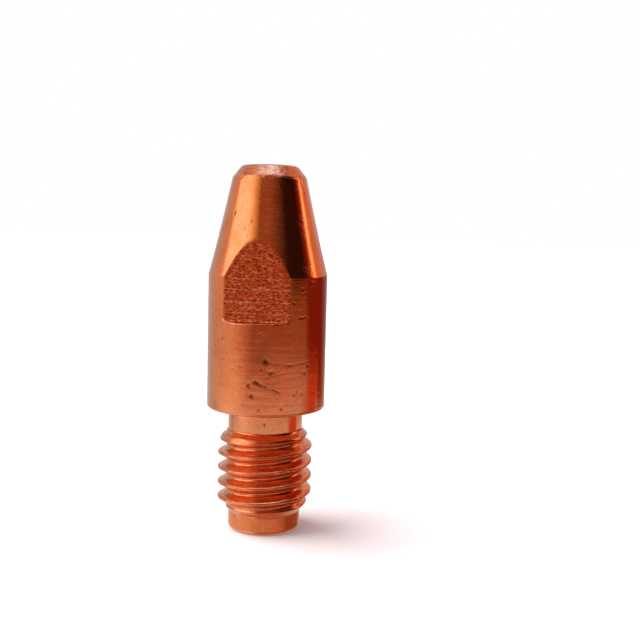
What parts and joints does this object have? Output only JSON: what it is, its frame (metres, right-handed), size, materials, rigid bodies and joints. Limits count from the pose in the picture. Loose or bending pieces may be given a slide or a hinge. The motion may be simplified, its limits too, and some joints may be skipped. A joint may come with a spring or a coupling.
{
  "type": "mig contact tip",
  "caption": "Turned copper contact tip for a MIG welding torch: tapered nose with a wire bore, milled wrench flats, round collar, relief neck and threaded shank.",
  "frame": {"origin": "on the tip's axis at its threaded end, which it stands on", "axes": "+Z along the axis from the threaded end to the nose; the two wrench flats face -Y and +Y"},
  "size_m": [0.0098, 0.0098, 0.03],
  "materials": {
    "copper": "turned and drawn copper, lightly scratched and tarnished, rougher on the milled flats"
  },
  "bodies": {
    "root": {"contact_tip": "copper"}
  },
  "joints": []
}
